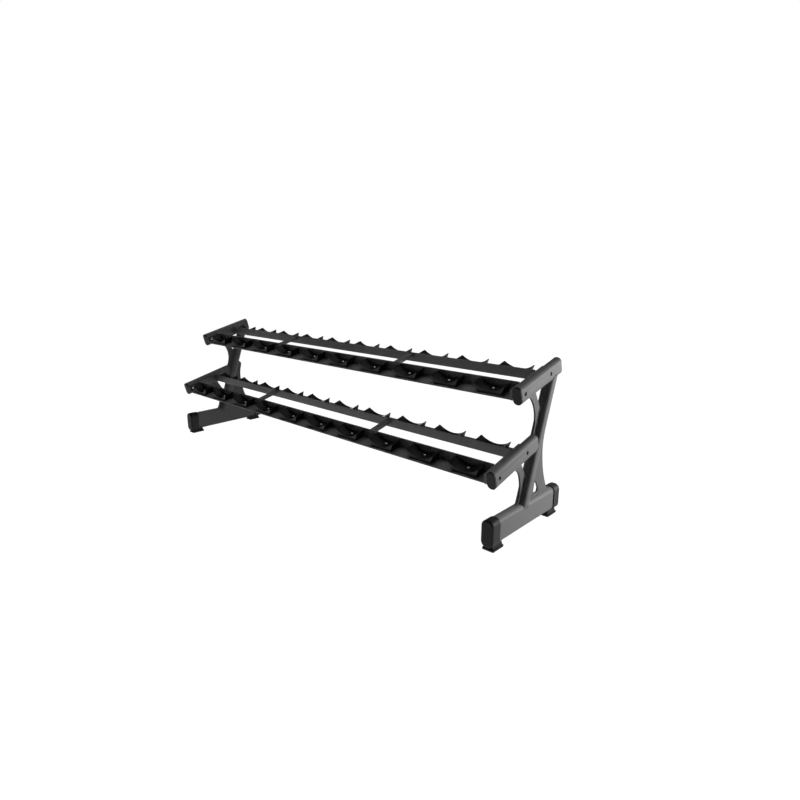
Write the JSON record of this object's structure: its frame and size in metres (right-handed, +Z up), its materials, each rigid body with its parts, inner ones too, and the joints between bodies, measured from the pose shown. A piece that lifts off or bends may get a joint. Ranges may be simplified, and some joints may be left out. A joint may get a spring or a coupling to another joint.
{
  "type": "dumbbell rack",
  "caption": "Free-standing tilted dumbbell rack with leaning tubular end frames, angle rails and moulded saddles that cradle the dumbbell heads in pairs.",
  "frame": {"origin": "on the floor, at the middle of the rack's overall length and depth", "axes": "+X along the rack to the right-hand end frame as seen from the front, +Y from the front to the back, +Z up"},
  "size_m": [2.413, 0.5448, 0.7192],
  "materials": {
    "frame_paint": "satin metallic grey powder coat",
    "rail_paint": "satin dark grey powder coat",
    "saddle_plastic": "fine textured black moulding",
    "cap_plastic": "satin black moulding",
    "pad_rubber": "matt black rubber",
    "bright_steel": "bright zinc plate",
    "dark_steel": "zinc plate"
  },
  "bodies": {
    "root": {"arm_bolts": "bright_steel", "arm_caps_left": "cap_plastic", "arm_caps_right": "cap_plastic", "arm_sleeves": "frame_paint", "column_left": "frame_paint", "column_right": "frame_paint", "foot_cap_front_left": "cap_plastic", "foot_cap_front_right": "cap_plastic", "foot_cap_rear_left": "cap_plastic", "foot_cap_rear_right": "cap_plastic", "foot_pad_front_left": "pad_rubber", "foot_pad_front_right": "pad_rubber", "foot_pad_rear_left": "pad_rubber", "foot_pad_rear_right": "pad_rubber", "foot_tube_left": "frame_paint", "foot_tube_right": "frame_paint", "lower_arm_left": "frame_paint", "lower_arm_right": "frame_paint", "lower_cross_bars": "rail_paint", "lower_end_plate_left": "rail_paint", "lower_end_plate_right": "rail_paint", "lower_front_rail": "rail_paint", "lower_gusset_left": "frame_paint", "lower_gusset_right": "frame_paint", "lower_rear_rail": "rail_paint", "rear_gusset_left": "frame_paint", "rear_gusset_right": "frame_paint", "saddle_nuts": "dark_steel", "saddle_screws": "bright_steel", "saddles_lower_01": "saddle_plastic", "saddles_lower_02": "saddle_plastic", "saddles_lower_03": "saddle_plastic", "saddles_lower_04": "saddle_plastic", "saddles_lower_05": "saddle_plastic", "saddles_lower_06": "saddle_plastic", "saddles_lower_07": "saddle_plastic", "saddles_lower_08": "saddle_plastic", "saddles_lower_09": "saddle_plastic", "saddles_lower_10": "saddle_plastic", "saddles_upper_01": "saddle_plastic", "saddles_upper_02": "saddle_plastic", "saddles_upper_03": "saddle_plastic", "saddles_upper_04": "saddle_plastic", "saddles_upper_05": "saddle_plastic", "saddles_upper_06": "saddle_plastic", "saddles_upper_07": "saddle_plastic", "saddles_upper_08": "saddle_plastic", "saddles_upper_09": "saddle_plastic", "saddles_upper_10": "saddle_plastic", "upper_arm_left": "frame_paint", "upper_arm_right": "frame_paint", "upper_cross_bars": "rail_paint", "upper_end_plate_left": "rail_paint", "upper_end_plate_right": "rail_paint", "upper_front_rail": "rail_paint", "upper_gusset_left": "frame_paint", "upper_gusset_right": "frame_paint", "upper_rear_rail": "rail_paint"}
  },
  "joints": []
}
